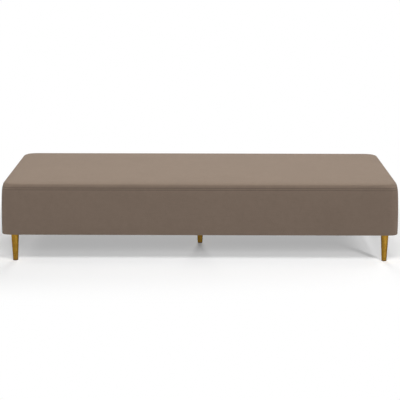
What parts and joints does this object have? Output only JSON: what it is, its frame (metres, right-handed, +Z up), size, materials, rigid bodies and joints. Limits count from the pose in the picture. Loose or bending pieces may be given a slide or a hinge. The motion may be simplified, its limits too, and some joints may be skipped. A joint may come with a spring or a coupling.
{
  "type": "backless divan",
  "caption": "Long backless divan: a fabric-covered box with a slightly domed seat on tapered round metal legs, with a leg under the middle too.",
  "frame": {"origin": "on the floor, under the middle of the divan", "axes": "+X along the divan to its right end as seen from the front, +Y from the front face to the rear face, +Z up"},
  "size_m": [2, 1, 0.4148],
  "materials": {
    "cover_fabric": "matte",
    "leg_metal": "satin",
    "glide_nylon": "matte",
    "dust_cloth": "matte",
    "frame_timber": "matte",
    "plywood": "matte",
    "dowel_wood": "matte",
    "zinc_steel": "satin",
    "staple_wire": "satin",
    "webbing": "matte",
    "felt": "matte",
    "foam": "matte",
    "wadding": "matte"
  },
  "bodies": {
    "root": {"back_rail": "frame_timber", "back_side_foam": "foam", "block_screws": "zinc_steel", "centre_block_left": "frame_timber", "centre_block_right": "frame_timber", "centre_cross_rail": "frame_timber", "centre_leg_board": "plywood", "corner_block_back_left": "frame_timber", "corner_block_back_right": "frame_timber", "corner_block_front_left": "frame_timber", "corner_block_front_right": "frame_timber", "cover_front_band": "cover_fabric", "cover_rear_band": "cover_fabric", "cover_staples": "staple_wire", "cover_top_panel": "cover_fabric", "dust_cover": "dust_cloth", "dust_cover_staples": "staple_wire", "felt_insulator": "felt", "frame_dowels": "dowel_wood", "front_rail": "frame_timber", "front_side_foam": "foam", "left_cross_rail": "frame_timber", "left_end_rail": "frame_timber", "left_side_foam": "foam", "leg_back_left": "leg_metal", "leg_back_right": "leg_metal", "leg_board_back_left": "plywood", "leg_board_back_right": "plywood", "leg_board_front_left": "plywood", "leg_board_front_right": "plywood", "leg_cap_back_left": "leg_metal", "leg_cap_back_right": "leg_metal", "leg_cap_centre": "leg_metal", "leg_cap_front_left": "leg_metal", "leg_cap_front_right": "leg_metal", "leg_centre": "leg_metal", "leg_front_left": "leg_metal", "leg_front_right": "leg_metal", "leg_glide_back_left": "glide_nylon", "leg_glide_back_right": "glide_nylon", "leg_glide_centre": "glide_nylon", "leg_glide_front_left": "glide_nylon", "leg_glide_front_right": "glide_nylon", "leg_studs": "zinc_steel", "rail_screws": "zinc_steel", "right_cross_rail": "frame_timber", "right_end_rail": "frame_timber", "right_side_foam": "foam", "seat_foam_core": "foam", "seat_foam_topper": "foam", "tee_nuts": "zinc_steel", "wadding_wrap": "wadding", "webbing_cross_straps": "webbing", "webbing_long_straps": "webbing", "webbing_staples": "staple_wire"}
  },
  "joints": []
}
